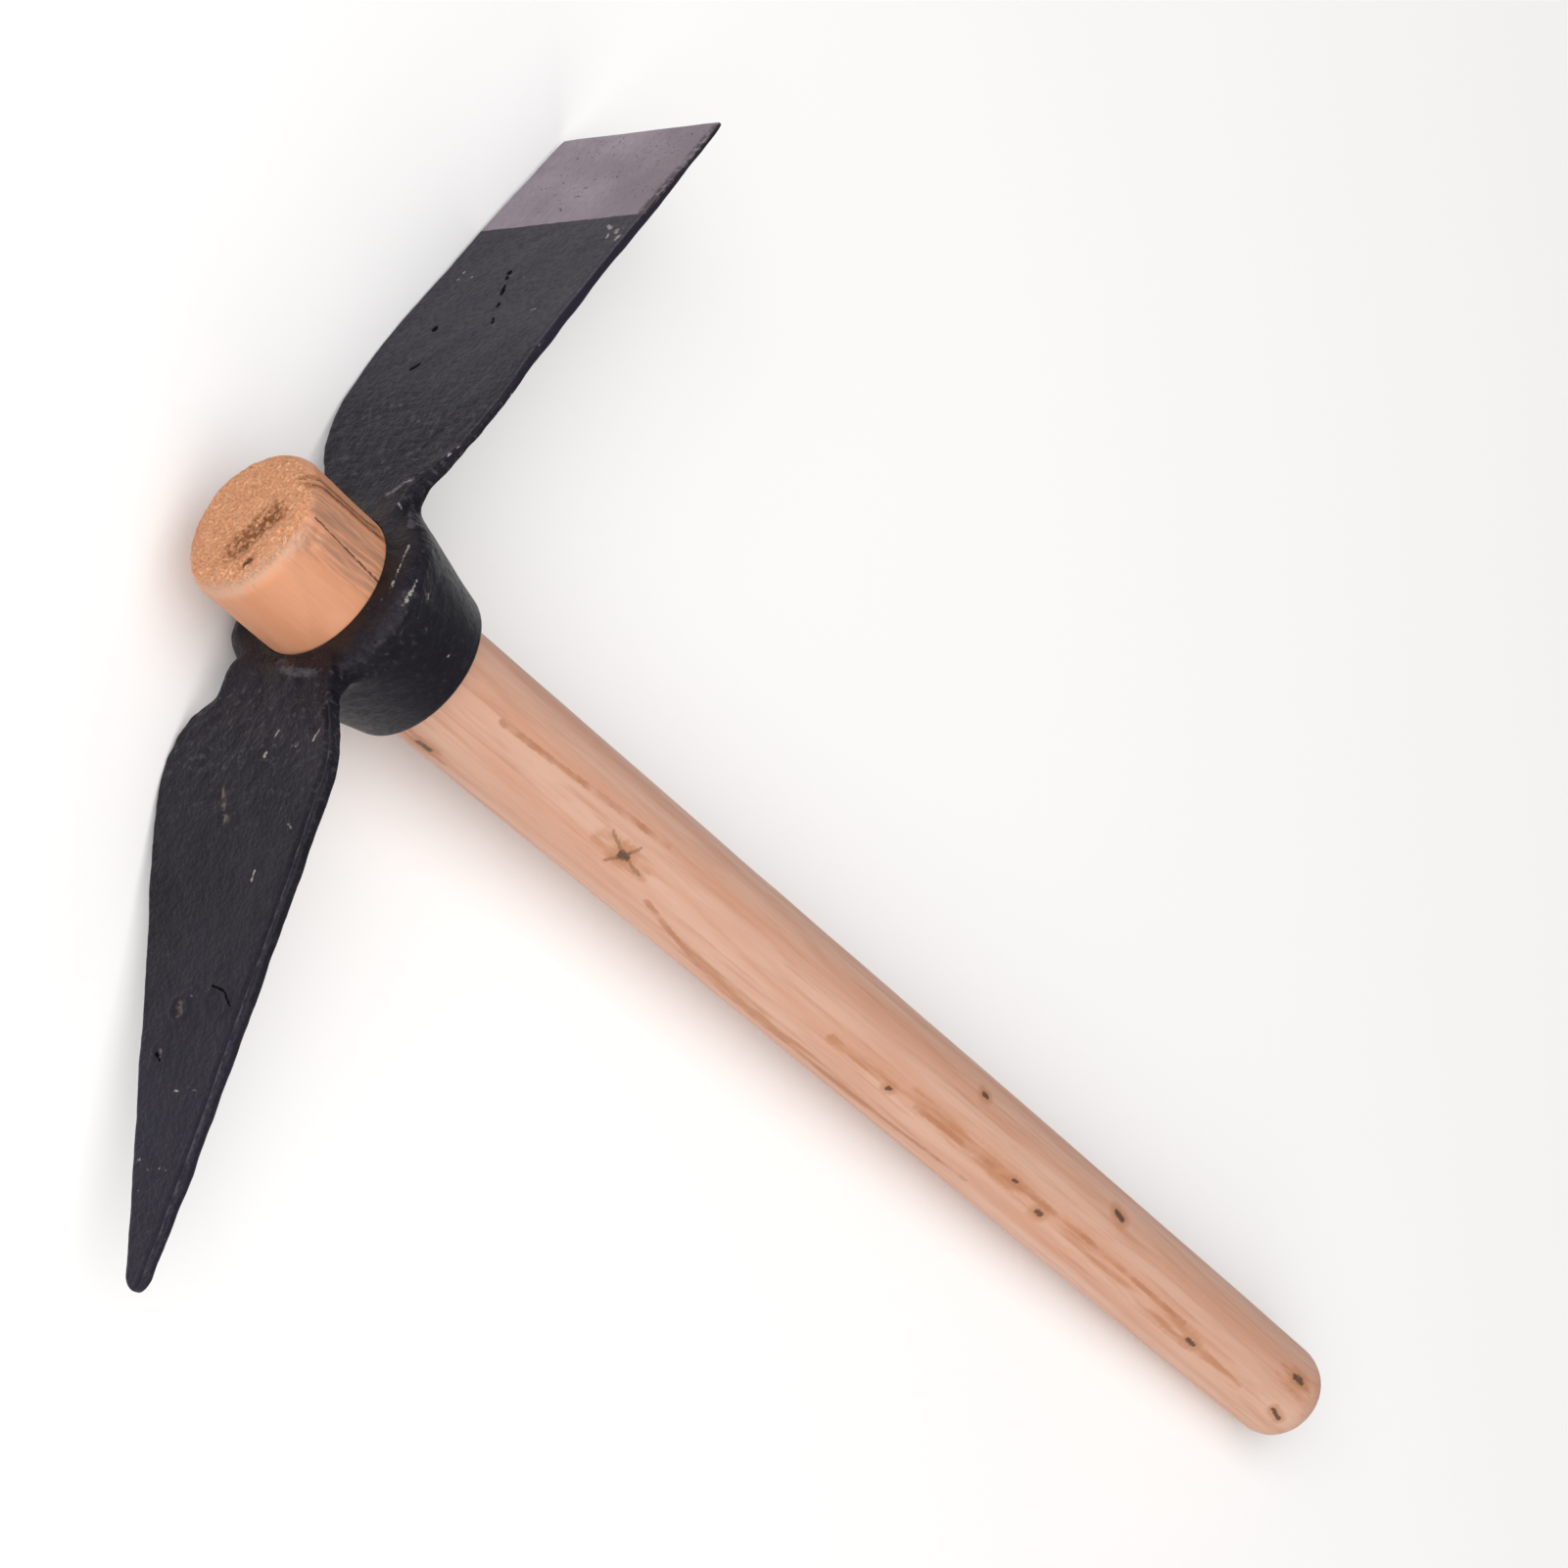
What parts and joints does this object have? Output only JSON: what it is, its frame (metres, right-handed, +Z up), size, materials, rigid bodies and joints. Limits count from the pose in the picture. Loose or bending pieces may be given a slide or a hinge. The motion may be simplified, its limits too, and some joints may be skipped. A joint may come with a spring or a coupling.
{
  "type": "draw hoe",
  "caption": "Short-handled draw hoe: forged head with a broad hoe blade and a leaf-shaped pointed blade either side of a round tapered eye on a turned wooden handle.",
  "frame": {"origin": "on the ground, under the middle of the object's box, with the tool lying on its side", "axes": "+X along the handle towards the grip, +Y towards the hoe blade's cutting edge, +Z up, across the blades' width"},
  "size_m": [0.486, 0.3612, 0.0653],
  "materials": {
    "black_paint": "brushed-on black paint over forged steel, ground bright along the hoe's cutting edge",
    "bare_wood": "sanded, unvarnished pale hardwood with open end grain at the head end"
  },
  "bodies": {
    "head": {"forged_head": "black_paint"},
    "handle": {"wooden_handle": "bare_wood"}
  },
  "joints": [
    {"name": "handle_slide", "type": "slide", "parent": "head", "child": "handle", "axis": [-0.9992, 0, 0.0409], "range_m": [0, 0.46]}
  ]
}
